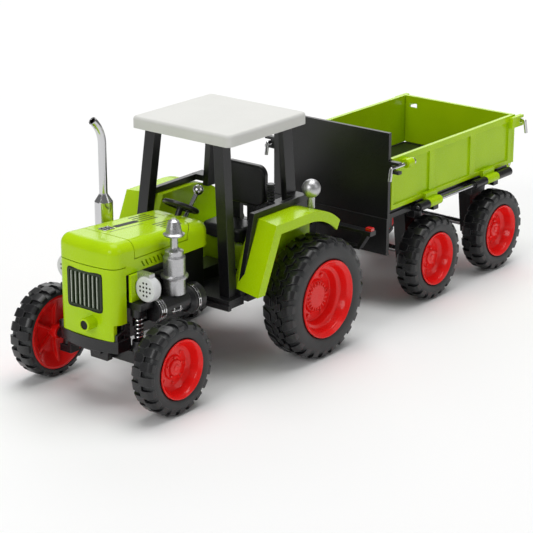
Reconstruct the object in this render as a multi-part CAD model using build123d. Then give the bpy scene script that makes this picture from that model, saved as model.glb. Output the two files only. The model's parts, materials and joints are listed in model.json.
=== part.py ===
"""Toy farm tractor with a hitched drop-side trailer, in millimetres.

The tractor faces -Y, +X is its left side and +Z is up.  While the pieces are drawn, y = 0 is the
tractor's rear axle, x = 0 the symmetry plane and z = 0 the floor.  save() then moves every piece
along Y so that the origin lies at the bottom centre of the whole object.
"""

from build123d import *
from math import atan2, cos, degrees, radians, sin, sqrt
import os

# ---- driving dimensions -------------------------------------------------------------------------
ORIGIN_Y = 49.7            # the origin's distance behind the rear axle

SMALL_TYRE_R = 30.0        # front and trailer wheels
SMALL_RIM_R = 19.2
SMALL_TYRE_WIDTH = 18.0
REAR_TYRE_R = 40.6
REAR_RIM_R = 26.4
REAR_TYRE_WIDTH = 26.0
FRONT_WHEEL_X = 61.0       # outer faces of the rims
REAR_WHEEL_X = 71.3
TRAILER_WHEEL_X = 62.6

FRONT_AXLE_Y = -133.4
KINGPIN_X = 36.5
SPRING_X = 27.2
AXLE_PIVOT_Z = 32.0
STEERING_ARM = 14.0        # kingpin to tie rod

NOSE_Y = -155.0            # foremost point of the nose
NOSE_BACK_Y = -143.0
HOOD_HALF_WIDTH = 24.3
HOOD_BACK_Y = -62.0
HOOD_BOTTOM_Z = 85.5
HOOD_SPLIT_Z = 91.0        # nose below, hood above
HOOD_FRONT_TOP_Z = 106.6
HOOD_BACK_TOP_Z = 100.6
HOOD_SLOPE = (HOOD_FRONT_TOP_Z - HOOD_BACK_TOP_Z) / (HOOD_BACK_Y - NOSE_Y)
HOOD_BACK_CORNER = 9.5     # plan radius of the hood's rear corners
SKIN = 1.9                 # thickness of the moulded covers
SEAM = 0.6                 # open groove between the nose, the hood and its lid
LID_HINGE_Y = -73.2
LID_BACK_Y = -75.6
LID_HINGE_Z = 100.4

FLOOR_TOP_Z = 53.4
FLOOR_THICK = 5.4
CAB_INNER_X = 37.7         # fender's inner wall
FENDER_OUTER_X = 64.0
PANEL_SWEEP = 0.27         # how fast the fender's front panel falls back towards the cab
ROOF_HALF_WIDTH = 41.3
ROOF_FRONT_Y = -65.1
ROOF_BACK_Y = 14.6
ROOF_BOTTOM_Z = 151.5
ROOF_TOP_Z = 159.2

HITCH_Y = 52.0
HITCH_PIN_R = 2.5
BED_HALF_WIDTH = 47.2      # inside of the side boards
BOARD_THICK = 3.0
BOARD_BOTTOM_Z = 73.8
BOARD_TOP_Z = 110.5
BED_TOP_Z = 73.2
HEADBOARD_Y = 94.0
HEADBOARD_THICK = 2.6
TRAILER_FRONT_Y = 98.2
TRAILER_AXLES_Y = (139.9, 223.3)
SIDE_HINGE = (54.6, 70.4)      # x, z of the drop sides' hinge axes
TAIL_HINGE = (259.4, 70.4)     # y, z of the tailgate's hinge axis
RIBS_Y = (147.3, 199.3)        # upright ribs on the side boards
KNUCKLES_Y = ((136.5, 151.0), (210.5, 225.5))
LATCH_X, LATCH_Z = 54.2, 105.6
REAR_LATCH_Y = 259.8

FIT = 0.05                 # radial clearance of a shaft in its hole
GAP = 0.4                  # clearance between neighbours that move

os.makedirs("parts", exist_ok=True)


# ---- helpers ------------------------------------------------------------------------------------
def block(x0, x1, y0, y1, z0, z1):
    """Box between two corners."""
    return Pos((x0 + x1) / 2, (y0 + y1) / 2, (z0 + z1) / 2) * Box(x1 - x0, y1 - y0, z1 - z0)


def rod(start, end, radius, end_radius=None):
    """Round bar, or a cone, from one point to another."""
    start, end = Vector(*start), Vector(*end)
    plane = Plane(origin=start, z_dir=end - start)
    length = (end - start).length
    if end_radius is None:
        return plane * Pos(0, 0, length / 2) * Cylinder(radius, length)
    return plane * Pos(0, 0, length / 2) * Cone(radius, end_radius, length)


def slab_x(points, x0, x1):
    """Outline of (y, z) points, drawn out along X."""
    face = make_face(Polyline(*[(x0, y, z) for y, z in points], close=True))
    return extrude(face, amount=x1 - x0, dir=(1, 0, 0))


def slab_y(points, y0, y1):
    """Outline of (x, z) points, drawn out along Y."""
    face = make_face(Polyline(*[(x, y0, z) for x, z in points], close=True))
    return extrude(face, amount=y1 - y0, dir=(0, 1, 0))


def slab_z(points, z0, z1):
    """Outline of (x, y) points, drawn out along Z."""
    face = make_face(Polyline(*[(x, y, z0) for x, y in points], close=True))
    return extrude(face, amount=z1 - z0, dir=(0, 0, 1))


def turned(points, side, x, y, z):
    """Solid of revolution about an X axis: points are (distance in from x, radius)."""
    outline = Polyline(*[(x - d, 0, r) for d, r in points], close=True)
    solid = Pos(0, y, z) * revolve(make_face(outline), Axis.X)
    return solid if side > 0 else mirror(solid, about=Plane.YZ)


def mirrored(shape):
    """The same piece on the other side of the symmetry plane."""
    return mirror(shape, about=Plane.YZ)


def both(shape):
    """The piece and its mirror image, as separate solids."""
    return Compound(children=[*solids_of(shape), *solids_of(mirrored(shape))])


def solids_of(shape):
    """Copies of a shape's solids."""
    return [Solid(s.wrapped) for s in shape.solids()]


def group(*shapes):
    """Several separate solids for one node."""
    return Compound(children=[s for shape in shapes for s in solids_of(shape)])


def on_side(side, shape):
    """The shape as drawn on the left, or its mirror image on the right."""
    return shape if side > 0 else mirrored(shape)


def save(name, shape):
    """Write one node, moved to the object's own origin."""
    moved = Pos(0, -ORIGIN_Y, 0) * shape
    export_step(moved, "parts/" + name + ".step")


SIDES = (("left", 1), ("right", -1))


# ---- wheels -------------------------------------------------------------------------------------
def small_rim(side, x, y, bore_r, bore_depth):
    """Dished wheel, bored blind from its inner side for a stub axle, or for a shaft's end."""
    z = SMALL_TYRE_R
    width = SMALL_TYRE_WIDTH - 1
    rim = turned([
        (0, SMALL_RIM_R - 0.6), (0.5, SMALL_RIM_R), (1.6, SMALL_RIM_R), (1.8, 17.2),
        (width - 1.6, 17.2), (width - 1.4, SMALL_RIM_R - 1), (width, SMALL_RIM_R - 1),
        (width, 15.8), (11.4, 15.2), (11.2, 4.6), (width + 0.4, 4.6), (width + 0.4, 0),
        (4.6, 0), (4.8, 2.2), (5.4, 3.0), (5.8, 5.0), (7.4, 5.6), (7.8, 7.4), (9.0, 8.0),
        (9.2, 12.6), (7.0, 15.0), (2.2, 16.6), (0.7, 18.0), (0.2, 18.2)], side, x, y, z)
    ribs = [Pos(side * (x - 13.2), y, z) * Rot(a, 0, 0) * Pos(0, 0, 10) * Box(4.4, 1.4, 11.6)
            for a in range(0, 360, 60)]
    bore = rod((side * (x - width - 1), y, z), (side * (x - width - 0.4 + bore_depth), y, z), bore_r)
    return rim + ribs - bore


def small_tyre(side, x, y):
    """Tyre as a plain ring with rounded shoulders, as large as its tread blocks."""
    w, r = SMALL_TYRE_WIDTH, SMALL_TYRE_R
    return turned([
        (1.85, 17.25), (1.85, SMALL_RIM_R + 0.3), (0.9, 20.5), (0.5, 23.5), (0.8, 27.4),
        (2.4, 29.4), (3.8, r), (w - 3.3, r), (w - 1.9, 29.4), (w - 0.4, 27.4), (w, 23.5),
        (w - 0.4, 20.5), (w - 2.65, SMALL_RIM_R), (w - 2.65, 17.25)], side, x, y, SMALL_TYRE_R)


def rear_rim(side, shaft_r):
    """Deep two-step rear wheel with a ring of nuts, ribbed at the back."""
    x, z, w = REAR_WHEEL_X, REAR_TYRE_R, REAR_TYRE_WIDTH - 1
    rim = turned([
        (0, REAR_RIM_R - 0.7), (0.5, REAR_RIM_R), (1.8, REAR_RIM_R), (2.0, 24.2),
        (w - 1.6, 24.2), (w - 1.4, REAR_RIM_R - 1), (w, REAR_RIM_R - 1), (w, 22.6),
        (15.4, 19.4), (15.2, 6.0), (w + 1, 6.0), (w + 1, 0), (8.6, 0), (8.8, 4.0), (9.4, 5.6),
        (9.6, 8.2), (10.6, 8.4), (10.8, 10.6), (12.4, 11.2), (12.8, 17.2), (7.6, 18.6),
        (7.2, 21.4), (2.4, 22.9), (0.8, 24.8), (0.2, 25.2)], side, x, 0, z)
    nuts = [Pos(side * (x - 9.9), 0, z) * Rot(a * 20, 0, 0) * Pos(0, 0, 9.4)
            * Rot(0, 90, 0) * Cylinder(0.7, 1.9) for a in range(18)]
    bosses = [Pos(side * (x - 12.2), 0, z) * Rot(a * 60 + 30, 0, 0) * Pos(0, 0, 14.4)
              * Rot(0, 90, 0) * Cylinder(1.7, 1.6) for a in range(6)]
    ribs = [Pos(side * (x - 19), 0, z) * Rot(a * 40, 0, 0) * Pos(0, 0, 13) * Box(7.4, 1.6, 15)
            for a in range(9)]
    bore = rod((side * (x - w - 2), 0, z), (side * (x - 12.0), 0, z), shaft_r)
    return rim + nuts + bosses + ribs - bore


def rear_tyre(side):
    """Rear tyre as a plain ring with rounded shoulders."""
    w, r = REAR_TYRE_WIDTH, REAR_TYRE_R
    return turned([
        (2.05, 24.25), (2.05, REAR_RIM_R + 0.3), (1.0, 28.0), (0.4, 32.0), (0.7, 36.8),
        (2.2, 39.6), (4.0, r), (w - 3.5, r), (w - 1.8, 39.6), (w - 0.4, 36.8), (w, 32.0),
        (w - 0.4, 28.0), (w - 2.65, REAR_RIM_R), (w - 2.65, 24.25)], side, REAR_WHEEL_X, 0,
        REAR_TYRE_R)


def wheels():
    """All wheels with their tyres and shafts."""
    for name, side in SIDES:
        save("front_rim_" + name, small_rim(side, FRONT_WHEEL_X, FRONT_AXLE_Y, 2.5 + FIT, 12.0))
        save("front_tyre_" + name, small_tyre(side, FRONT_WHEEL_X, FRONT_AXLE_Y))
    shaft_end = REAR_WHEEL_X - 12.0
    save("rear_axle_shaft", rod((-shaft_end, 0, REAR_TYRE_R), (shaft_end, 0, REAR_TYRE_R), 3.0))
    save("rear_rims", group(rear_rim(1, 3.0), rear_rim(-1, 3.0)))
    save("rear_tyres", group(rear_tyre(1), rear_tyre(-1)))
    shaft_end = TRAILER_WHEEL_X - SMALL_TYRE_WIDTH + 0.6 + 12.0
    for place, y in zip(("front", "rear"), TRAILER_AXLES_Y):
        ends = [(s * shaft_end, y, SMALL_TYRE_R) for s in (-1, 1)]
        save("trailer_" + place + "_shaft", rod(*ends, 2.5))
        save("trailer_" + place + "_rims",
             group(*[small_rim(s, TRAILER_WHEEL_X, y, 2.5, 12.0) for s in (1, -1)]))
        save("trailer_" + place + "_tyres",
             group(*[small_tyre(s, TRAILER_WHEEL_X, y) for s in (1, -1)]))


# ---- front axle and steering --------------------------------------------------------------------
def front_axle():
    """Rocking beam with a yoke at each end, its steering knuckles and the tie rod."""
    y, z = FRONT_AXLE_Y, SMALL_TYRE_R
    beam = block(-33, 33, y - 4, y + 4, z - 4, z + 4)
    beam += rod((0, y - 5, AXLE_PIVOT_Z), (0, y + 5, AXLE_PIVOT_Z), 6.0)
    for s in (-1, 1):
        lo, hi = sorted((s * 30.4, s * 32.8))
        beam += block(lo, hi, y - 4, y + 4, 19.6, 40.4)
        lo, hi = sorted((s * 31, s * 40))
        ear = block(lo, hi, y - 4, y + 4, 19.6, 24.2)
        beam += [ear, Pos(0, 0, 16.2) * ear]
        beam -= rod((s * KINGPIN_X, y, 19), (s * KINGPIN_X, y, 41), 2.0 + FIT)
        lo, hi = sorted((s * 32.8, s * 41))
        beam -= block(lo, hi, y - 5, y + 5, 24.2, 35.8)
        beam += rod((s * SPRING_X, y - 2.3, z + 3), (s * SPRING_X, y - 2.3, 37.6), 4.2)
    beam -= rod((0, y - 6, AXLE_PIVOT_Z), (0, y + 6, AXLE_PIVOT_Z), 2.0 + FIT)
    save("front_axle_beam", beam)

    for name, side in SIDES:
        x = KINGPIN_X
        knuckle = rod((x, y, 19.8), (x, y, 40.2), 2.0) + rod((x, y, 24.6), (x, y, 35.4), 3.2)
        knuckle += rod((x, y, z), (x + 6.4, y, z), 3.4)
        knuckle += rod((x, y, z), (FRONT_WHEEL_X - 6.3, y, z), 2.5)
        arm_end = y + STEERING_ARM
        knuckle += block(x - 1.6, x + 1.6, y, arm_end, 26.0, 29.0)
        knuckle += rod((x, arm_end, 26.0), (x, arm_end, 29.0), 2.6)
        knuckle += rod((x, arm_end, 22.2), (x, arm_end, 27.0), 0.9)
        save("steering_knuckle_" + name, on_side(side, knuckle))

    tie_y = y + STEERING_ARM
    tie = block(-KINGPIN_X, KINGPIN_X, tie_y - 1.5, tie_y + 1.5, 22.8, 25.6)
    for s in (-1, 1):
        tie += rod((s * KINGPIN_X, tie_y, 22.8), (s * KINGPIN_X, tie_y, 25.6), 2.8)
    for s in (-1, 1):
        tie -= rod((s * KINGPIN_X, tie_y, 22), (s * KINGPIN_X, tie_y, 26), 1.25)
    save("tie_rod", tie)


def spring(x, y, z0, z1, mean_r, wire_r, turns):
    """Compression spring as one helical wire."""
    helix = Helix(pitch=(z1 - z0 - 2 * wire_r) / turns, height=z1 - z0 - 2 * wire_r, radius=mean_r)
    start = Plane(origin=helix @ 0, z_dir=helix % 0)
    wire = sweep(start * Circle(wire_r), path=helix)
    return Pos(x, y, z0 + wire_r) * wire


# ---- chassis ------------------------------------------------------------------------------------
def chassis():
    """Black moulded frame: rails, cross-members, axle lugs and spring towers."""
    y = FRONT_AXLE_Y
    frame = block(-17, 17, -150, -139.5, 39.5, 47)
    for s in (-1, 1):
        lo, hi = sorted((s * 10, s * 17))
        frame += block(lo, hi, -150, -24, 41, 47)
        lo, hi = sorted((s * 12, s * 34))
        frame += block(lo, hi, y - 7.5, y + 3.0, 63.6, 67.8)
        lo, hi = sorted((s * 12, s * 17))
        frame += block(lo, hi, y - 7.5, y + 3.0, 46, 67.8)
        cap = rod((s * SPRING_X, y - 2.3, 58.4), (s * SPRING_X, y - 2.3, 67.8), 5.0)
        frame += cap + rod((s * SPRING_X, y - 2.3, 40.2), (s * SPRING_X, y - 2.3, 59), 1.7)
    frame += block(-17, 17, -127.0, -120, 39.5, 47)
    frame += block(-17, 17, -40, -24, 41, 47)
    for y0, y1 in ((y - 10.0, y - 5.3), (y + 5.3, y + 10.0)):
        frame += slab_y([(-7, 25.5), (7, 25.5), (9, 41), (-9, 41)], y0, y1)
    frame -= rod((0, y - 11, AXLE_PIVOT_Z), (0, y + 11, AXLE_PIVOT_Z), 2.0)
    save("chassis_frame", frame)
    coil = spring(SPRING_X, y - 2.3, 37.75, 58.35, 2.55, 0.55, 6.5)
    save("front_springs", both(coil))
    pin = rod((0, y - 10.6, AXLE_PIVOT_Z), (0, y + 10.6, AXLE_PIVOT_Z), 2.0)
    return pin + rod((0, y - 12.0, AXLE_PIVOT_Z), (0, y - 10.0, AXLE_PIVOT_Z), 3.4)


def engine():
    """Engine block with sump, ribbed cylinders and a gearbox running back to the axle housing."""
    body = block(-15, 15, -126, -80, 47.2, 76)
    body += block(-12, 12, -120, -86, 76, 84)
    for k in range(9):
        y = -123 + k * 5
        body += block(-18.5, 18.5, y, y + 2.0, 58, 73)
    body += block(-11.6, 11.6, -139, -126, 52, 80)
    save("engine_block", body)

    housing = block(-11, 11, -23.8, -12, 33, 47.5)
    housing += block(-14, 14, -14, 14, 30, 47.6)
    tube_z = REAR_TYRE_R
    housing += rod((-42.5, 0, tube_z), (42.5, 0, tube_z), 6.6)
    housing += block(-9, 9, 12, 40, 33.5, 46)
    for z0 in (31.2, 42.2):
        housing += block(-9, 9, 34, HITCH_Y, z0, z0 + 4.0)
        housing += rod((0, HITCH_Y, z0), (0, HITCH_Y, z0 + 4.0), 9.0)
    housing -= rod((-44, 0, tube_z), (44, 0, tube_z), 3.0 + FIT)
    housing -= rod((0, HITCH_Y, 30), (0, HITCH_Y, 48), HITCH_PIN_R + FIT)
    save("rear_axle_housing", housing)
    pin = rod((0, HITCH_Y, 29.5), (0, HITCH_Y, 52), HITCH_PIN_R)
    pin += rod((0, HITCH_Y, 46.3), (0, HITCH_Y, 48.2), 4.2)
    pin += rod((-6, HITCH_Y, 52.5), (6, HITCH_Y, 52.5), 1.6)
    save("hitch_pin", pin)


# ---- nose, hood and lid -------------------------------------------------------------------------
def nose_plan(inset, back_y):
    """Plan of the nose and hood: bowed front, rounded corners."""
    w = HOOD_HALF_WIDTH - inset
    front = NOSE_Y + inset
    bow = ThreePointArc((-w, front + 3.0), (0, front), (w, front + 3.0))
    sides = Polyline((w, front + 3.0), (w, back_y), (-w, back_y), (-w, front + 3.0))
    plan = make_face([bow, *sides.edges()])
    corners = [v for v in plan.vertices() if v.Y < front + 4]
    return fillet(corners, 7.2 - inset)


def nose():
    """Grille shell below the hood, with the grille's opening and an off-centre crank socket."""
    outer = extrude(Pos(0, 0, 44.3) * nose_plan(0, NOSE_BACK_Y), HOOD_SPLIT_Z - SEAM - 44.3)
    inner = extrude(Pos(0, 0, 40) * nose_plan(SKIN, NOSE_BACK_Y + 1), 60)
    shell = outer - inner
    shell -= block(-14.2, 14.2, NOSE_Y - 1, NOSE_Y + 4.5, 61.8, 86.6)
    shell -= block(-30, -21.4, -152.6, -140, 40, 54.6)
    shell -= block(21.4, 30, -152.6, -140, 40, 54.6)
    boss = rod((CRANK[0], -161.5, CRANK[1]), (CRANK[0], -152.6, CRANK[1]), 3.5)
    shell += boss
    shell -= rod((CRANK[0], -162, CRANK[1]), (CRANK[0], -153.9, CRANK[1]), 2.2)
    save("nose_cowl", shell)

    panel = block(-13.9, 13.9, -153.1, -151.6, 62.1, 86.3)
    bars = []
    for k in range(7):
        x = -10.8 + k * 3.6
        bars.append(block(x - 0.85, x + 0.85, -154.3, -153.0, 63.6, 84.8))
    frame = block(-13.9, 13.9, -154.5, -151.6, 62.1, 86.3) - block(-12.6, 12.6, -156, -150, 63.4, 85)
    save("grille", panel + frame + bars)


CRANK = (6.0, 54.6)        # x and z of the crank socket


def hood_body(inset):
    """Outer shape of the hood, or the hollow inside it."""
    plan = nose_plan(inset, HOOD_BACK_Y - inset)
    backs = [v for v in plan.vertices() if v.Y > HOOD_BACK_Y - 4]
    tall = extrude(Pos(0, 0, 70) * fillet(backs, HOOD_BACK_CORNER - inset), 50)
    low = inset * 9
    side = slab_x([
        (NOSE_Y - 5, HOOD_SPLIT_Z - low), (NOSE_BACK_Y, HOOD_SPLIT_Z - low),
        (NOSE_BACK_Y, HOOD_BOTTOM_Z - low), (-55, HOOD_BOTTOM_Z - low),
        (-55, HOOD_BACK_TOP_Z - inset - HOOD_SLOPE * 7),
        (NOSE_Y - 5, HOOD_FRONT_TOP_Z - inset + HOOD_SLOPE * 5)], -40, 40)
    body = tall & side
    body = body.solids()[0]
    roof_face = body.faces().sort_by(Axis.Z)[-1]
    return fillet(roof_face.edges(), 7.0 - inset)


def lid_plan(grow):
    """Plan of the lifting lid, wider than the hood so that it takes the shoulders with it."""
    g = grow
    return make_face([
        Line((-34, -134.6 - g), (34, -134.6 - g)), Line((34, -134.6 - g), (34, -88 + g)),
        Line((34, -88 + g), (24.4, -87 + g)),
        ThreePointArc((24.4, -87 + g), (19.0, -79.4 + g), (8.5, LID_BACK_Y + g)),
        Line((8.5, LID_BACK_Y + g), (-8.5, LID_BACK_Y + g)),
        ThreePointArc((-8.5, LID_BACK_Y + g), (-19.0, -79.4 + g), (-24.4, -87 + g)),
        Line((-24.4, -87 + g), (-34, -88 + g)), Line((-34, -88 + g), (-34, -134.6 - g))])


LID_BOTTOM_Z = 94.3
LOUVRES_X = (5.2, 8.5, 11.8, 15.1)     # lengthwise slots in the lid


def hood():
    """Hood shell with louvres, the hinged lid cut out of its top, and the lid's tongue hinge."""
    shell = hood_body(0) - hood_body(SKIN)
    tool = extrude(Pos(0, 0, LID_BOTTOM_Z) * lid_plan(0), 30)
    hole = extrude(Pos(0, 0, LID_BOTTOM_Z - SEAM) * lid_plan(SEAM), 30)
    lid = shell & tool
    main = shell - hole
    for k in range(6):
        y = -126.8 + k * 3.6
        for s in (-1, 1):
            slot = slab_x([(y, 86.9), (y + 1.3, 86.9), (y - 1.3, 91.2), (y - 2.6, 91.2)],
                          *sorted((s * 22, s * 26)))
            main -= slot
    tongue_y = LID_HINGE_Y
    slope = degrees(atan2(HOOD_SLOPE, 1))
    lie = Pos(0, tongue_y, LID_HINGE_Z) * Rot(-slope, 0, 0)
    main -= lie * Pos(0, -0.9, 0) * Box(10.8, 4.4, 6)
    main -= rod(COLUMN_LOW, COLUMN_TOP, 2.0 + GAP)
    x, y, z = LEVER_PIVOT
    main -= block(x - 2.6, x + 2.6, y - 3, y + 4, z, 90)
    main += both(lie * Pos(7.2, 0.5, -1.2) * Box(3.4, 3.6, 3.2)) & extrude(
        Pos(0, 0, 80) * nose_plan(0.3, HOOD_BACK_Y), 22)
    tongue = lie * Pos(0, -2.2, 0) * Box(10, 4.4, 1.9) + lie * Rot(0, 90, 0) * Cylinder(0.95, 10)
    lid += tongue
    pin_hole = lie * Rot(0, 90, 0) * Cylinder(0.5, 16)
    lid -= lie * Rot(0, 90, 0) * Cylinder(0.55, 20)
    main -= pin_hole
    for x in LOUVRES_X:
        for s in (-1, 1):
            lid -= block(s * x - 0.55, s * x + 0.55, -97.5, -81, 96, 110)
    save("hood", main)
    save("hood_lid", lid)
    return lie * Rot(0, 90, 0) * Cylinder(0.5, 15.8)


# ---- front fittings -----------------------------------------------------------------------------
def front_fittings():
    """Bumper, headlamps, air cleaner, pre-cleaner and exhaust."""
    w = HOOD_HALF_WIDTH - 0.2
    bumper = extrude(Pos(0, 0, 36.6) * make_face([
        Line((-w, -139.6), (-w, -151.4)), ThreePointArc((-w, -151.4), (0, -156.0), (w, -151.4)),
        Line((w, -151.4), (w, -139.6)), Line((w, -139.6), (-w, -139.6))]), 7.5)
    bumper -= block(-17.2, 17.2, -150.2, -139.0, 39.3, 48)
    for s in (-1, 1):
        lo, hi = sorted((s * 21.8, s * 23.6))
        bracket = slab_x([(-151.4, 38.2), (-139.8, 38.2), (-139.8, 54.2), (-144, 54.2),
                          (-144.5, 50.4), (-151.4, 48.4)], lo, hi)
        bracket -= block(lo - 1, hi + 1, -148.2, -144.8, 44.6, 47.4)
        lo, hi = sorted((s * 17.2, s * 22.4))
        bumper += bracket + block(lo, hi, -147, -140, 38.2, 41.2)
    bumper -= block(-9.6, 9.6, -144, -138, 36, 40)
    save("front_bumper", bumper)

    x, y, z = 33.5, -136.3, 76.5
    shell = rod((x, y, z), (x, y + 1.2, z), 7.6, 8.3) + rod((x, y + 1.2, z), (x, y + 5.2, z), 8.3)
    shell += rod((x, y + 5.2, z), (x, y + 8.6, z), 8.3, 5.6)
    for row, count in ((3.9, 2), (1.3, 4), (-1.3, 4), (-3.9, 2)):
        for k in range(count):
            dx = (k - (count - 1) / 2) * 2.7
            shell -= rod((x + dx, y - 1, z + row), (x + dx, y + 1.6, z + row), 0.62)
    save("headlamps", both(shell))
    plate = block(24.5, 26.5, -141.0, -131.0, 67.9, 85.2)
    clip = block(26.5, 37.0, y + 0.8, y + 5.2, 82.6, 86.4) + block(26.5, 29.5, y + 0.8, y + 5.2, 79, 83)
    save("lamp_brackets", both(plate + clip - rod((x, y - 1, z), (x, y + 9, z), 8.35)))

    cx, cz = 32.2, 60.4
    body = rod((cx, -129.0, cz), (cx, -100.5, cz), 6.8)
    body += rod((cx, -100.5, cz - 1.2), (cx, -97.5, cz - 1.2), 7.2, 9.3)
    body += rod((cx, -97.5, cz - 1.2), (cx, -88.0, cz - 1.2), 9.3)
    body += rod((cx, -88.0, cz - 1.2), (cx, -86.6, cz - 1.2), 9.3, 8.0)
    body += block(18.6, cx, -112, -96, cz - 3, cz + 3)
    save("air_cleaner", body)
    bands = [rod((cx, -95.6, cz - 1.2), (cx, -93.4, cz - 1.2), 9.8)
             - rod((cx, -96, cz - 1.2), (cx, -93, cz - 1.2), 9.3)]
    for k in range(3):
        y0 = -127.8 + 1.8 * k
        bands.append(rod((cx, y0, cz), (cx, y0 + 1.1, cz), 7.4) - rod(
            (cx, y0 - 1, cz), (cx, y0 + 2, cz), 6.8))
    save("air_cleaner_bands", group(*bands))

    sx, sy = 32.3, -107.8
    outline = [(0, 66.6), (6.9, 66.6), (6.9, 76.6), (8.6, 76.9), (8.8, 77.8), (8.6, 78.7), (7.0, 79.0),
               (7.0, 90.2), (5.8, 91.6), (5.8, 94.2), (3.4, 95.4), (2.5, 96.4), (2.5, 103.4),
               (6.4, 104.0), (6.8, 105.0), (5.2, 105.9), (4.6, 108.8), (3.4, 113.2), (1.6, 114.4),
               (0, 114.6)]
    face = make_face(Polyline(*[(r, 0, h) for r, h in outline], close=True))
    stack = Pos(sx, sy, 0) * revolve(face, Axis.Z)
    stack -= rod((cx, -130, cz), (cx, -90, cz), 6.8)
    save("precleaner_stack", stack)

    ex, ey = -32.0, -102.0
    outline = [(0, 66), (4.6, 66), (5.9, 67.2), (5.9, 112.4), (2.8, 117.2), (2.7, 118), (0, 118)]
    face = make_face(Polyline(*[(r, 0, h) for r, h in outline], close=True))
    muffler = Pos(ex, ey, 0) * revolve(face, Axis.Z) + block(-32, -18.6, -105, -99, 67, 72)
    top = 150.0
    path = Line((ex, ey, 117.5), (ex, ey, top)) + TangentArc(
        (ex, ey, top), (ex - 1.2, ey - 7.0, top + 16.0), tangent=(0, 0, 1))
    section = Plane(origin=(ex, ey, 117.5), z_dir=(0, 0, 1)) * (Circle(2.7) - Circle(1.9))
    pipe = sweep(section, path=path)
    save("exhaust", muffler + pipe)


# ---- cab ----------------------------------------------------------------------------------------
def post(bottom, top, width, depth, z0, z1):
    """Leaning square post between two (x, y) centres."""
    low = Pos(bottom[0], bottom[1], z0) * Rectangle(width, depth)
    high = Pos(top[0], top[1], z1) * Rectangle(width, depth)
    return loft([low, high])


def front_pillar():
    """Left front pillar, leaning in and back towards the roof."""
    return post((38.1, -63.2), (28.6, -57.2), 8.2, 7.0, FLOOR_TOP_Z, ROOF_BOTTOM_Z)


def side_rail():
    """Bent bar on the left fender, from the floor's edge up and back to the rear pillar."""
    z1 = FLOOR_TOP_Z
    rail = slab_x([(-59.5, z1), (-56.2, z1), (-42.6, 101.4), (9.6, 101.4), (9.6, 105.6),
                   (-46.0, 105.2)], 42.0, 45.6)
    rail += block(36.2, 45.6, -1.0, 9.6, 101.6, 105.6)
    return rail + block(39.0, 45.6, -59.4, -56.0, z1, z1 + 4)


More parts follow.
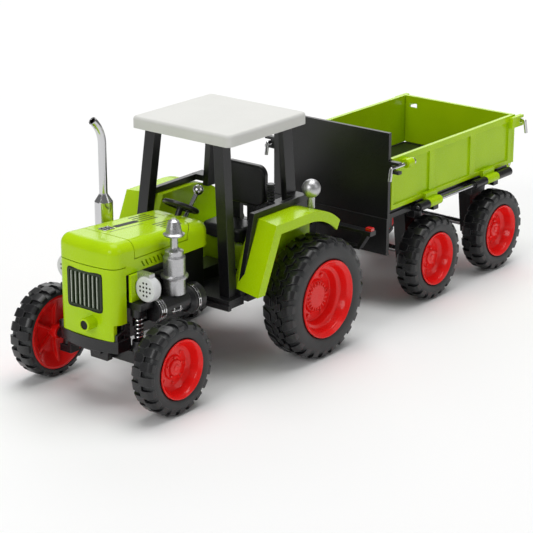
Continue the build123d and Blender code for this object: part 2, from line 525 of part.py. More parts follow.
def cab():
    """Floor tub, pillars, side rails, roof, seat, gaiter and dash."""
    z0, z1 = FLOOR_TOP_Z - FLOOR_THICK, FLOOR_TOP_Z
    floor = slab_z([(-46, -71.6), (46, -71.6), (46, -57), (36.9, -50), (36.9, 20), (-36.9, 20),
                    (-36.9, -50), (-46, -57)], z0, z1)
    floor += block(-46.6, 46.6, -73.0, -70.2, z0 - 1.0, z0 + 2.2)
    for s in (-1, 1):
        lo, hi = sorted((s * 10, s * 17))
        floor += block(lo, hi, -70, -41, 47.0, 49)
    console = slab_x([(-19.5, 72), (20, 72), (20, 98.6), (-14, 98.6), (-19, 90)], 22.6, 36.9)
    pedestal = slab_x([(-20, z1), (20, z1), (20, 72), (-19, 72)], -36.9, 36.9)
    save("seat_pedestal", fillet(pedestal.edges().filter_by(Axis.X).sort_by(Axis.Y)[0:2], 0.8))
    save("cab_floor", group(floor, console))

    rail = side_rail()
    save("side_rails", both(rail))
    front_post = front_pillar()
    rear_post = post((34.2, 4.3), (29.8, 4.6), 4.6, 9.4, 98.6, ROOF_BOTTOM_Z) - rail
    save("cab_pillars", group(both(front_post), both(rear_post)))

    w = ROOF_HALF_WIDTH
    roof = block(-w, w, ROOF_FRONT_Y, ROOF_BACK_Y, ROOF_BOTTOM_Z, ROOF_TOP_Z)
    roof = fillet(roof.edges().filter_by(Axis.Z), 4.0)
    roof = fillet(roof.faces().sort_by(Axis.Z)[-1].edges(), 2.2)
    well = block(-w + 3, w - 3, ROOF_FRONT_Y + 3, ROOF_BACK_Y - 3, ROOF_BOTTOM_Z - 1,
                 ROOF_BOTTOM_Z + 3.6)
    roof -= fillet(well.edges().filter_by(Axis.Z), 2.0)
    for s in (-1, 1):
        lo, hi = sorted((s * 24, s * 33.5))
        roof += block(lo, hi, -61.2, -53.2, ROOF_BOTTOM_Z, ROOF_BOTTOM_Z + 4)
        lo, hi = sorted((s * 27, s * 32.6))
        roof += block(lo, hi, -0.6, 9.6, ROOF_BOTTOM_Z, ROOF_BOTTOM_Z + 4)
    save("roof", roof)

    back = block(-18, 18, -2.0, 2.2, 92.8, 121.0)
    back = fillet(back.edges().filter_by(Axis.Y), 6.5)
    back = fillet(back.faces().sort_by(Axis.Y)[0].edges(), 1.6)
    seat = back
    for s in (-1, 1):
        lo, hi = sorted((s * 3.0, s * 9.4))
        seat += slab_x([(-1.4, 72.2), (2.2, 72.2), (2.2, 95), (-1.4, 95)], lo, hi)
    seat += block(-9.4, 9.4, -20, 2.2, 72.2, 75.0)
    cushion = block(-17, 17, -26, -3.2, 75.1, 83.4)
    cushion = fillet(cushion.edges().filter_by(Axis.Z), 5.0)
    cushion = fillet(cushion.faces().sort_by(Axis.Z)[-1].edges(), 2.4)
    save("seat", group(seat, cushion))
    rings = [(0, 98.7), (2.8, 98.7)]
    for k in range(6):
        h = 99.9 + k * 2.1
        rings += [(2.8, h), (2.1, h + 0.5), (2.1, h + 1.0), (2.8, h + 1.5)]
    rings += [(2.8, 112.6), (0, 112.6)]
    gaiter = revolve(make_face(Polyline(*[(r, 0, h) for r, h in rings], close=True)), Axis.Z)
    save("lever_gaiter", Pos(27, -6.0, 0) * gaiter)

    dash = slab_x([(-78.0, z1), (-60.4, z1), (-60.4, 85.0), (-64.3, 85.2), (-64.3, 92.5),
                   (-67.6, 96.4), (-78.0, 96.4)], -15, 15)
    dash += block(-8, 8, -60.6, -30, z1, 62)
    x, y, z = LEVER_PIVOT
    dash -= block(x - 2.4, x + 2.4, y - 3.2, -58, z - 3.8, z + 4)
    dash -= rod((x - 5.6, y, z), (x + 5.6, y, z), 1.2 + FIT)
    dash = dash - rod(COLUMN_LOW, COLUMN_TOP, 2.0 + FIT)
    save("dash_console", dash)


WHEEL_HUB = Vector(0, -64.3, 106.0)
WHEEL_TILT = 30.0
COLUMN_UP = Vector(0, sin(radians(WHEEL_TILT)), cos(radians(WHEEL_TILT)))
COLUMN_LOW = tuple(WHEEL_HUB - COLUMN_UP * 21.0)
COLUMN_TOP = tuple(WHEEL_HUB + COLUMN_UP * 0.5)
LEVER_PIVOT = (-6.0, -63.8, 82.8)
LEVER_TOP = (-6.0, -40.4, 110.1)


def controls():
    """Steering wheel with its column, and the ball-ended gear lever."""
    tilted = Plane(origin=WHEEL_HUB, x_dir=(1, 0, 0), z_dir=COLUMN_UP)
    wheel = tilted * Torus(10.9, 1.45)
    wheel += tilted * Cylinder(3.0, 2.6)
    for a in (90, 210, 330):
        wheel += tilted * Rot(0, 0, a) * Pos(5.8, 0, -0.2) * Box(9.6, 2.2, 1.5)
    wheel += rod(tuple(WHEEL_HUB - COLUMN_UP * 20.6), tuple(WHEEL_HUB), 2.0)
    save("steering_wheel", wheel)

    x, y, z = LEVER_PIVOT
    lever = rod((x - 5.2, y, z), (x + 5.2, y, z), 1.2) + rod((x - 2, y, z), (x + 2, y, z), 2.2)
    lever += rod(LEVER_PIVOT, LEVER_TOP, 1.4)
    lever += Pos(*LEVER_TOP) * Sphere(3.5)
    save("gear_lever", lever)


# ---- fenders and rear lamps ---------------------------------------------------------------------
def fender_outline(inset):
    """Side outline of a fender's outer skin, from its front foot over the wheel to its tail."""
    i = inset
    foot, knee = (-65.1 + 1.1 * i, 57.8), (-46.2 + 0.75 * i, 101.0 - i)
    crest = (-12.0, 101.0 - i)
    mid, tail = (6.6 - 0.3 * i, 97.6 - i), (20.6 - 0.5 * i, 88.6 - 0.9 * i)
    return foot, knee, crest, mid, tail


def fender_band(x0, x1, outer, inner):
    """Band between two side outlines, drawn out along X."""
    f0, k0, c0, m0, t0 = [(x0, y, z) for y, z in fender_outline(outer)]
    f1, k1, c1, m1, t1 = [(x0, y, z) for y, z in fender_outline(inner)]
    face = make_face([Line(f0, k0), Line(k0, c0), ThreePointArc(c0, m0, t0), Line(t0, t1),
                      ThreePointArc(t1, m1, c1), Line(c1, k1), Line(k1, f1), Line(f1, f0)])
    return extrude(face, amount=x1 - x0, dir=(1, 0, 0))


def fender(side):
    """One fender: skin with its front panel swept back towards the cab, lip and inner wall."""
    width = FENDER_OUTER_X - CAB_INNER_X
    face = fender_band(FENDER_OUTER_X, FENDER_OUTER_X + 1, 0, 1.8).faces().sort_by(Axis.X)[0]
    swept = extrude(face, amount=width * sqrt(1 + PANEL_SWEEP ** 2), dir=(-1, PANEL_SWEEP, 0))
    front = swept & block(30, 70, -80, -25, 40, 120)
    back = fender_band(CAB_INNER_X, FENDER_OUTER_X, 0, 1.8) & block(30, 70, -25, 40, 40, 120)
    lip = fender_band(FENDER_OUTER_X - 1.9, FENDER_OUTER_X, 1.7, 6.6)
    shift = PANEL_SWEEP * width
    wall = slab_x([(-63.9 + shift, 57.8), (-45.4 + shift, 99.4), (-12, 99.4), (6, 96.4),
                   (19.4, 88), (19.4, 53.5), (-63.9 + shift, 53.5)], CAB_INNER_X, CAB_INNER_X + 1.9)
    shell = front + back + lip + wall - side_rail() - front_pillar()
    return on_side(side, shell)


def fenders():
    """Both fenders, the ball-shaped work lamp on the left one, and the rear lamp bar."""
    for name, side in SIDES:
        save("fender_" + name, fender(side))
    foot_z = 101.0
    x, y, z = 52.0, 5.0, 111.6
    lamp = Pos(x, y, z) * Sphere(6.2)
    lamp += rod((x, y, foot_z - 2.4), (x, y, z - 4), 2.4)
    lamp -= block(40, 60, -8, 20, 90, 98.6)
    skin = fender_band(CAB_INNER_X, FENDER_OUTER_X, -0.02, 1.8)
    save("work_lamp", lamp - skin)

    y = 60.0
    bar = block(-62.4, 62.4, y - 3, y + 3, 67.2, 70.4)
    bar += slab_y([(-60, 67.4), (60, 67.4), (53, 56.4), (-53, 56.4)], y - 3, y + 2)
    bar -= slab_y([(-56, 68.4), (56, 68.4), (51.4, 58.4), (-51.4, 58.4)], y - 4, y + 4)
    for s in (-1, 1):
        lo, hi = sorted((s * 8, s * 13))
        bar += block(lo, hi, 20.0, y - 2, 58.0, 66) + block(lo, hi, y - 3, y + 2, 56.6, 69)
    save("rear_lamp_bar", bar)
    lamp = block(57.4, 62.2, y - 1.8, y + 1.8, 70.4, 73.0)
    save("tail_lamps", both(fillet(lamp.faces().sort_by(Axis.Z)[-1].edges(), 0.9)))


# ---- trailer ------------------------------------------------------------------------------------
def trailer_frame():
    """Drawbar, rails, axle hangers, skirts and the hinge posts under the bed."""
    frame = block(-9, 9, HITCH_Y + 0.0, 104, 36.4, 41.0)
    frame += rod((0, HITCH_Y, 36.4), (0, HITCH_Y, 41.0), 9.0)
    frame += slab_x([(96.8, 36.4), (104, 36.4), (112, 52), (112, 70.2), (96.8, 70.2)], -9, 9)
    frame += block(-22, 22, 96.8, 104, 60, 70.2)
    frame -= rod((0, HITCH_Y, 35), (0, HITCH_Y, 42), HITCH_PIN_R + FIT)
    frame -= block(-5.4, 5.4, HITCH_Y + 14, 92, 35, 42)
    for s in (-1, 1):
        lo, hi = sorted((s * 16, s * 22))
        frame += block(lo, hi, 96.8, 254, 56, 70.2)
        for y in TRAILER_AXLES_Y:
            lo, hi = sorted((s * 30, s * 40))
            hanger = slab_x([(y - 13, 70.2), (y + 13, 70.2), (y + 10, 56), (y + 6, 25), (y - 6, 25),
                             (y - 10, 56)], lo, hi)
            frame += hanger
            lo, hi = sorted((s * 20, s * 31))
            frame += block(lo, hi, y - 8, y + 8, 58, 70.2)
        lo, hi = sorted((s * 41, s * 48))
        skirt = block(lo, hi, 96.8, 246, 66.6, 70.2)
        for y in (99.6, 133.0, 157.0, 206.0, 236.0):
            skirt += block(lo, hi, y - 3, y + 3, 60.0, 68)
        lo, hi = sorted((s * 39, s * 42))
        for y in TRAILER_AXLES_Y:
            skirt += block(lo, hi, y - 12, y + 12, 62, 70.2)
        frame += skirt
        hx, hz = SIDE_HINGE
        for y0, y1 in ((124.5, 136.0), (195.5, 210.0), (226.0, 243.0)):
            lo, hi = sorted((s * 46, s * hx))
            frame += block(lo, hi, y0, y1, hz - 3.2, hz - 0.2) + rod((s * hx, y0, hz), (s * hx, y1, hz), 3.2)
            frame -= rod((s * hx, y0 - 1, hz), (s * hx, y1 + 1, hz), 1.25)
    frame += block(-48, 48, 246, 252.4, 64.0, 70.2)
    for s in (-1, 1):
        lo, hi = sorted((s * 24, s * 34))
        ty, tz = TAIL_HINGE
        frame += block(lo, hi, 250, ty, tz - 3.0, tz - 0.2) + rod((lo, ty, tz), (hi, ty, tz), 3.0)
    frame -= rod((-50, TAIL_HINGE[0], TAIL_HINGE[1]), (50, TAIL_HINGE[0], TAIL_HINGE[1]), 1.25)
    for y in TRAILER_AXLES_Y:
        frame -= rod((-45, y, SMALL_TYRE_R), (45, y, SMALL_TYRE_R), 2.5 + FIT)
    frame -= block(-60, 60, 90, HEADBOARD_Y + HEADBOARD_THICK, 42, 80)
    save("trailer_frame", frame)

    bed = block(-BED_HALF_WIDTH + 0.4, BED_HALF_WIDTH - 0.4, TRAILER_FRONT_Y - 1.4, 252.2, 70.2,
                BED_TOP_Z)
    save("trailer_bed", bed)

    y0, y1 = HEADBOARD_Y, HEADBOARD_Y + HEADBOARD_THICK
    board = block(-50.2, 50.2, y0, y1, 68.0, 129.5)
    board += block(-50.2, 50.2, y0 - 0.8, y1 - 0.4, 42.0, 68.2)
    board -= block(-9.6, 9.6, y0 - 2, y1 + 2, 30, 41.8)
    for s in (-1, 1):
        lo, hi = sorted((s * 48.4, s * 58.6))
        clip = block(lo, hi, y0, y1, LATCH_Z - 4.2, LATCH_Z + 4.2)
        lo, hi = sorted((s * 50.8, s * 58.6))
        clip += block(lo, hi, y0, y0 + 3.8, LATCH_Z - 4.2, LATCH_Z + 4.2)
        slot_lo, slot_hi = sorted((s * LATCH_X, s * 60))
        clip -= block(slot_lo, slot_hi, y0 - 1, y0 + 10, LATCH_Z - 2.1, LATCH_Z + 2.1)
        clip -= rod((s * LATCH_X, y0 - 1, LATCH_Z), (s * LATCH_X, y0 + 10, LATCH_Z), 2.1)
        board += clip
    save("headboard", board)


def side_board(side):
    """Drop side: flat plate with rails, ribs, two hinge knuckles and the front latch boss."""
    x0, x1 = BED_HALF_WIDTH, BED_HALF_WIDTH + BOARD_THICK
    y0, y1 = TRAILER_FRONT_Y, 252.6
    z0, z1 = BOARD_BOTTOM_Z, BOARD_TOP_Z
    board = block(x0, x1, y0, y1, z0, z1)
    board -= block(x1 - 1.3, x1 + 1, y0 + 2.6, RIBS_Y[0] - 3.2, z0 + 3, z1 - 4.2)
    board -= block(x1 - 1.3, x1 + 1, RIBS_Y[0] + 3.2, RIBS_Y[1] - 3.2, z0 + 3, z1 - 4.2)
    board -= block(x1 - 1.3, x1 + 1, RIBS_Y[1] + 3.2, y1 - 5.0, z0 + 3, z1 - 4.2)
    hx, hz = SIDE_HINGE
    for k0, k1 in KNUCKLES_Y:
        board += slab_y([(x0 + 0.2, z0), (x1, z0), (hx + 2.4, hz + 2.2), (hx, hz), (x0 + 3, hz + 2.4)],
                        k0, k1)
        board += rod((hx, k0, hz), (hx, k1, hz), 3.2)
        board += block(x1 - 1, x1 + 2.6, k0, k1, z0 - 0.4, z0 + 3.4)
    boss_y = 108.6
    board += rod((LATCH_X, boss_y, LATCH_Z), (LATCH_X, boss_y + 7.0, LATCH_Z), 3.2)
    board += block(x0 + 1, LATCH_X, boss_y, boss_y + 7.0, LATCH_Z - 2.6, LATCH_Z + 2.6)
    board -= rod((LATCH_X, boss_y - 1, LATCH_Z), (LATCH_X, boss_y + 9, LATCH_Z), 1.3 + FIT)
    for k0, k1 in KNUCKLES_Y:
        board -= rod((hx, k0 - 1, hz), (hx, k1 + 1, hz), 1.2 + FIT)
    clip = block(x1 - 0.6, x1 + 3.2, 247.6, 252.6, LATCH_Z - 4.0, LATCH_Z + 4.0)
    clip += block(x1 + 0.2, x1 + 3.2, 247.6, 262.6, LATCH_Z - 4.0, LATCH_Z + 4.0)
    clip -= block(x1 - 2, x1 + 5, REAR_LATCH_Y, 264, LATCH_Z - 2.0, LATCH_Z + 2.0)
    clip -= rod((x1 - 2, REAR_LATCH_Y, LATCH_Z), (x1 + 5, REAR_LATCH_Y, LATCH_Z), 2.0)
    board += clip
    return on_side(side, board)


def tailgate():
    """Rear board with a frame, finger slots, hinge knuckles and two latch bosses."""
    half = BED_HALF_WIDTH + BOARD_THICK - 0.2
    y0, y1 = 253.2, 256.0
    z0, z1 = BOARD_BOTTOM_Z, BOARD_TOP_Z
    gate = block(-half, half, y0, y1, z0, z1)
    gate -= block(-half + 3, -1.8, y1 - 1.1, y1 + 1, z0 + 3, z1 - 4.2)
    gate -= block(1.8, half - 3, y1 - 1.1, y1 + 1, z0 + 3, z1 - 4.2)
    ty, tz = TAIL_HINGE
    for s in (-1, 1):
        lo, hi = sorted((s * 35.0, s * 44.0))
        gate += slab_x([(y0 + 0.2, z0), (y1, z0), (ty + 1.0, tz + 2.6), (ty, tz), (y0 + 3, tz + 2.4)],
                       lo, hi)
        gate += block(lo, hi, y1 - 1, ty + 0.6, z0 - 0.6, z0 + 3.0)
        gate += rod((lo, ty, tz), (hi, ty, tz), 3.0)
        gate -= rod((lo - 1, ty, tz), (hi + 1, ty, tz), 1.2 + FIT)
        lo, hi = sorted((s * 44.0, s * 49.0))
        gate += block(lo, hi, y0 + 0.6, REAR_LATCH_Y, LATCH_Z - 2.8, LATCH_Z + 2.8)
        gate += rod((lo, REAR_LATCH_Y, LATCH_Z), (hi, REAR_LATCH_Y, LATCH_Z), 3.0)
        gate -= rod((lo - 2, REAR_LATCH_Y, LATCH_Z), (hi + 2, REAR_LATCH_Y, LATCH_Z), 1.3 + FIT)
        lo, hi = sorted((s * 36.6, s * 43.4))
        gate -= block(lo, hi, y0 - 2, y1 + 2, LATCH_Z - 4.0, LATCH_Z - 0.6)
    return gate


def trailer_boards():
    """Drop sides, tailgate, their hinge rods and the four turning latches."""
    for name, side in SIDES:
        save("side_board_" + name, side_board(side))
    save("tailgate", tailgate())
    hx, hz = SIDE_HINGE
    rods = [rod((s * hx, 124.0, hz), (s * hx, 243.4, hz), 1.2) for s in (-1, 1)]
    rods += [rod((s * 23.6, TAIL_HINGE[0], TAIL_HINGE[1]), (s * 44.6, TAIL_HINGE[0], TAIL_HINGE[1]), 1.2)
             for s in (-1, 1)]
    save("board_hinge_rods", group(*rods))
    for name, side in SIDES:
        y_front, y_tip = 91.6, 117.6
        latch = rod((LATCH_X, y_front, LATCH_Z), (LATCH_X, y_tip, LATCH_Z), 1.3)
        latch += Pos(LATCH_X, y_front, LATCH_Z) * Sphere(1.3)
        latch += rod((LATCH_X, y_front, LATCH_Z), (LATCH_X, y_front - 1.6, LATCH_Z - 8.6), 1.3)
        latch += rod((LATCH_X, y_tip - 1.4, LATCH_Z), (LATCH_X, y_tip, LATCH_Z), 2.6)
        save("front_latch_" + name, on_side(side, latch))
        x_in, x_out = 42.6, 56.4
        y = REAR_LATCH_Y
        latch = rod((x_in, y, LATCH_Z), (x_out, y, LATCH_Z), 1.3)
        latch += Pos(x_out, y, LATCH_Z) * Sphere(1.3)
        latch += rod((x_out, y, LATCH_Z), (x_out + 1.2, y + 0.4, LATCH_Z - 9.0), 1.3)
        latch += rod((x_in, y, LATCH_Z), (x_in + 1.2, y, LATCH_Z), 2.4)
        save("rear_latch_" + name, on_side(side, latch))


wheels()
front_axle()
axle_pin = chassis()
engine()
nose()
save("pivot_pins", group(axle_pin, hood()))
front_fittings()
cab()
controls()
fenders()
trailer_frame()
trailer_boards()
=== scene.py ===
"""Looks of the toy tractor and its trailer: finishes, tyres, rims, trim, light and camera.

Wheels and the grille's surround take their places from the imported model.  Other trim is placed
with at(), in mm from the rear axle.  Sizes in mm are multiplied by MM.
"""
import json
from math import cos, pi, radians, sin

import bmesh
import bpy
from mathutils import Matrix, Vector


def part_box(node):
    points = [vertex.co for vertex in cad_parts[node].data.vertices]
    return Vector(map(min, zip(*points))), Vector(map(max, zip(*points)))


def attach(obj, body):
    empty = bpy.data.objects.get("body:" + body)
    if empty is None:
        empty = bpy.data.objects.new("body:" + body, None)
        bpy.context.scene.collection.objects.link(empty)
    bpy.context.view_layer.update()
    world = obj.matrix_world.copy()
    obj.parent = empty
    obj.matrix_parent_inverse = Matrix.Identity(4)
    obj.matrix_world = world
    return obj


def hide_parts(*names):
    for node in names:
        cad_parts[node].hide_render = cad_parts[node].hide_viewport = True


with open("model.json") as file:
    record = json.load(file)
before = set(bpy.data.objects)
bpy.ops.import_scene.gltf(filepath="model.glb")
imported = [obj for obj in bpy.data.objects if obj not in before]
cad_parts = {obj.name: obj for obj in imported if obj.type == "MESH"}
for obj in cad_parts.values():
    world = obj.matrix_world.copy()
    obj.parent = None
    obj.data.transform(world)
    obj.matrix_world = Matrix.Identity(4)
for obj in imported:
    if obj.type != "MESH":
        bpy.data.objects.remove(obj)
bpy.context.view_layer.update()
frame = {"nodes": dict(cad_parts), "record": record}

MM = 0.001

REAR_AXLE = sum((Vector(corner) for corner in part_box("rear_axle_shaft")), Vector()) / 2


def at(x, y, z):
    """Place given in mm sideways, behind the rear axle and above the floor."""
    return Vector((x * MM, y * MM + REAR_AXLE.y, z * MM))


# ---- finishes -----------------------------------------------------------------------------------
def shader(name):
    """A new material, its node tree and its main shader."""
    material = bpy.data.materials.new(name)
    material.use_nodes = True
    return material, material.node_tree, material.node_tree.nodes["Principled BSDF"]


def noise(tree, scale, detail=3.0):
    """Noise in the object's own space; scale is in cells per metre."""
    place = tree.nodes.new("ShaderNodeTexCoord")
    texture = tree.nodes.new("ShaderNodeTexNoise")
    texture.inputs["Scale"].default_value = scale
    texture.inputs["Detail"].default_value = detail
    tree.links.new(place.outputs["Object"], texture.inputs["Vector"])
    return texture.outputs["Fac"]


def spread(tree, value, low, high, to_low, to_high):
    """A value moved from one range to another and clamped."""
    node = tree.nodes.new("ShaderNodeMapRange")
    tree.links.new(value, node.inputs["Value"])
    for socket, number in zip(("From Min", "From Max", "To Min", "To Max"),
                              (low, high, to_low, to_high)):
        node.inputs[socket].default_value = number
    return node.outputs["Result"]


def mixed(tree, amount, first, second):
    """Mix of two colours, each a socket or a plain (r, g, b)."""
    node = tree.nodes.new("ShaderNodeMix")
    node.data_type = "RGBA"
    tree.links.new(amount, node.inputs[0])
    for socket, colour in ((node.inputs[6], first), (node.inputs[7], second)):
        if isinstance(colour, tuple):
            socket.default_value = (*colour, 1)
        else:
            tree.links.new(colour, socket)
    return node.outputs[2]


def rounded_edges(tree, radius):
    """Normal with softened edges, and a mask that is 1 along them, where the painted edge highlight
    goes.
    """
    soft = tree.nodes.new("ShaderNodeBevel")
    soft.samples = 4
    soft.inputs["Radius"].default_value = radius
    plain = tree.nodes.new("ShaderNodeNewGeometry")
    dot = tree.nodes.new("ShaderNodeVectorMath")
    dot.operation = "DOT_PRODUCT"
    tree.links.new(soft.outputs["Normal"], dot.inputs[0])
    tree.links.new(plain.outputs["Normal"], dot.inputs[1])
    return soft.outputs["Normal"], spread(tree, dot.outputs["Value"], 0.995, 0.85, 0, 1)


def finish(name, colour, deep, edge, roughness, grain=1600, relief=0.004, coat=0.0, metallic=0.0,
           radius=0.35, mottle=40, specular=0.3):
    """Moulded, rubbery or metal surface: mottled colour, a painted highlight along the edges, fine
    grain.
    """
    material, tree, main = shader(name)
    normal, rim = rounded_edges(tree, radius * MM)
    body = mixed(tree, spread(tree, noise(tree, mottle), 0.35, 0.65, 0, 1), deep, colour)
    # The edge colour is a painted highlight, laid along the edges by the rim mask.
    tree.links.new(mixed(tree, rim, body, edge), main.inputs["Base Color"])
    fine = noise(tree, grain, 2.0)
    tree.links.new(spread(tree, fine, 0.3, 0.7, roughness * 0.82, roughness * 1.18),
                   main.inputs["Roughness"])
    bump = tree.nodes.new("ShaderNodeBump")
    bump.inputs["Distance"].default_value = relief * MM
    tree.links.new(fine, bump.inputs["Height"])
    tree.links.new(normal, bump.inputs["Normal"])
    tree.links.new(bump.outputs["Normal"], main.inputs["Normal"])
    main.inputs["Metallic"].default_value = metallic
    main.inputs["Coat Weight"].default_value = coat
    main.inputs["Coat Roughness"].default_value = 0.06
    main.inputs["Specular IOR Level"].default_value = specular
    return material


# Each finish: colour, its mottled darker tone, a paler colour painted along the edges as highlight,
# then roughness.
FINISHES = {
    "green": finish("lime_gloss", (0.46, 0.70, 0.002), (0.42, 0.66, 0.002), (0.64, 0.86, 0.01),
                    0.26, coat=0.2, radius=0.5, specular=0.12),
    "black": finish("black_satin", (0.009, 0.009, 0.010), (0.006, 0.006, 0.007),
                    (0.08, 0.08, 0.085), 0.31, grain=2600, relief=0.006, radius=0.45, specular=0.5),
    "roof_white": finish("roof_white", (0.66, 0.66, 0.63), (0.64, 0.64, 0.61), (0.78, 0.78, 0.76),
                         0.42, coat=0.0, radius=0.6, specular=0.2),
    "red": finish("rim_red", (0.92, 0.012, 0.010), (0.86, 0.010, 0.009), (0.95, 0.08, 0.06),
                  0.30, coat=0.35, radius=0.4, specular=0.2),
    "tyre": finish("tyre_rubber", (0.024, 0.026, 0.027), (0.018, 0.019, 0.020),
                   (0.06, 0.062, 0.065), 0.46, grain=2200, relief=0.012, mottle=120, radius=0.2,
                   specular=0.5),
    # The tread's pale edge colour is a strong painted highlight on the blocks.
    "rubber_tread": finish("rubber_tread", (0.011, 0.011, 0.012), (0.007, 0.007, 0.008),
                           (0.13, 0.13, 0.135), 0.32, grain=2200, relief=0.02, mottle=160,
                           radius=0.3, specular=0.5),
    "chrome": finish("chrome", (0.62, 0.62, 0.63), (0.58, 0.58, 0.59), (0.9, 0.9, 0.9),
                     0.12, metallic=1.0, relief=0.0, radius=0.3),
    "silver": finish("silver_satin", (0.50, 0.50, 0.51), (0.47, 0.47, 0.48), (0.85, 0.85, 0.86),
                     0.30, metallic=0.9, relief=0.0, radius=0.45),
    "satin_ball": finish("satin_ball", (0.52, 0.52, 0.53), (0.50, 0.50, 0.51), (0.8, 0.8, 0.8),
                         0.40, metallic=1.0, relief=0.0, radius=0.3),
    "steel": finish("steel_wire", (0.60, 0.60, 0.61), (0.52, 0.52, 0.54), (0.85, 0.85, 0.86),
                    0.24, metallic=1.0, relief=0.0, radius=0.15),
    "lamp_white": finish("lamp_white", (0.72, 0.73, 0.73), (0.69, 0.70, 0.70), (0.86, 0.86, 0.86),
                         0.30, coat=0.2, radius=0.35),
    "grille_dark": finish("grille_dark", (0.020, 0.040, 0.008), (0.012, 0.024, 0.006),
                          (0.14, 0.18, 0.12), 0.34, radius=0.25),
    # Pale grey of the ridges on the grille bars is a painted highlight.
    "bar_highlight_grey": finish("bar_highlight_grey", (0.50, 0.54, 0.44), (0.42, 0.46, 0.38), (0.8, 0.8, 0.78),
                       0.25, metallic=0.4, relief=0.0, radius=0.2),
    "lens_red": finish("lens_red", (0.62, 0.006, 0.006), (0.5, 0.004, 0.004), (0.85, 0.05, 0.04),
                       0.12, coat=1.0, radius=0.3),
    # deep_black is the black of real trim, and also painted shade in holes, slots and the crank
    # socket.
    "deep_black": finish("deep_black", (0.006, 0.006, 0.006), (0.004, 0.004, 0.004),
                         (0.03, 0.03, 0.03), 0.5),
}


LAMP_PLATE_X = 26.7        # mm: the green mounting plates end here and the silver clips begin


def two_tone(name, second, chosen):
    """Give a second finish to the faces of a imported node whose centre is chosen."""
    mesh = frame["nodes"][name].data
    mesh.materials.append(FINISHES[second])
    for polygon in mesh.polygons:
        polygon.material_index = 1 if chosen(polygon.center) else 0


def paint_frame():
    """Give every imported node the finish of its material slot."""
    for part in frame["record"]["subparts"]:
        node = frame["nodes"][part["node"]]
        node.data.materials.clear()
        node.data.materials.append(FINISHES[part["material_slot"]])
    frame["nodes"]["work_lamp"].data.materials[0] = FINISHES["satin_ball"]
    frame["nodes"]["pivot_pins"].data.materials[0] = FINISHES["black"]
    two_tone("lamp_brackets", "green", lambda centre: abs(centre.x) < LAMP_PLATE_X * MM)


# ---- mesh helpers -------------------------------------------------------------------------------
def piece(name, bm, materials, bevel=0.0):
    """A mesh object from bm, smooth, with an optional small bevel on its sharp edges."""
    bmesh.ops.remove_doubles(bm, verts=bm.verts, dist=1e-6)
    bmesh.ops.recalc_face_normals(bm, faces=bm.faces)
    for face in bm.faces:
        face.smooth = True
    for edge in bm.edges:
        if len(edge.link_faces) == 2 and edge.calc_face_angle() > radians(32):
            edge.smooth = False
    mesh = bpy.data.meshes.new(name)
    bm.to_mesh(mesh)
    bm.free()
    for material in materials:
        mesh.materials.append(FINISHES[material])
    made = bpy.data.objects.new(name, mesh)
    bpy.context.scene.collection.objects.link(made)
    if bevel:
        soften = made.modifiers.new("soften", "BEVEL")
        soften.width = bevel
        soften.segments = 2
        soften.limit_method = "ANGLE"
        soften.angle_limit = radians(32)
        soften.harden_normals = True
    return made


def add(name, bm, materials, body, bevel=0.0):
    """Finish a trim piece and let it ride on a body."""
    made = piece(name, bm, materials, bevel)
    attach(made, body)


def skin(bm, rings, closed=False, material=0):
    """Faces between neighbouring rings; closed also joins the last ring to the first."""
    earlier = [rings[-1]] + rings if closed else rings
    for last, ring in zip(earlier, rings if closed else rings[1:]):
        for j in range(len(ring)):
            corners = (ring[j - 1], ring[j], last[j], last[j - 1])
            bm.faces.new(corners).material_index = material


def turned(bm, place, outline, turns):
    """Turned body; the outline is closed, in (along, radius), and place(along, radius, angle)."""
    rings = [[bm.verts.new(place(along, r, 2 * pi * k / turns)) for along, r in outline]
             for k in range(turns)]
    skin(bm, rings, closed=True)


def prism(bm, outline, depth):
    """Closed slab: a flat outline and its copy moved by depth."""
    near = [bm.verts.new(point) for point in outline]
    far = [bm.verts.new(point + depth) for point in outline]
    bm.faces.new(near)
    bm.faces.new(far)
    skin(bm, [far, near])


def tube(bm, path, radius, out, closed=True):
    """Round bar along a nearly flat path whose plane faces out."""
    rings, count, sides = [], len(path), 10
    for k, point in enumerate(path):
        ahead = path[(k + 1) % count] if closed or k < count - 1 else point
        behind = path[k - 1] if closed or k else point
        across = (ahead - behind).normalized().cross(out).normalized()
        rings.append([bm.verts.new(point + (across * cos(turn) + out * sin(turn)) * radius)
                      for turn in (2 * pi * j / sides for j in range(sides))])
    skin(bm, rings, closed)
    if not closed:
        bm.faces.new(rings[0])
        bm.faces.new(rings[-1])


def rod(bm, start, end, radius, sides, material=0):
    """Closed round bar between two places; the radius is in mm."""
    turn = (end - start).to_track_quat("Z", "Y").to_matrix()
    rings = [[bm.verts.new(place + turn @ Vector((cos(a), sin(a), 0)) * radius * MM)
              for a in (2 * pi * k / sides for k in range(sides))] for place in (start, end)]
    skin(bm, rings[::-1], material=material)
    for ring in rings:
        bm.faces.new(ring).material_index = material


def rectangle(x0, x1, y0, y1):
    """Corners of a plan rectangle."""
    return ((x0, y0), (x1, y0), (x1, y1), (x0, y1))


def eased(outline, cut, steps=4):
    """Closed outline with a short curve in place of each corner."""
    points = []
    for k, corner in enumerate(outline):
        here = Vector(corner)
        before = Vector(outline[k - 1]) - here
        after = Vector(outline[(k + 1) % len(outline)]) - here
        start = here + before.normalized() * min(cut, 0.46 * before.length)
        end = here + after.normalized() * min(cut, 0.46 * after.length)
        for j in range(steps + 1):
            t = j / steps
            points.append(start.lerp(here, t).lerp(here.lerp(end, t), t))
    return points


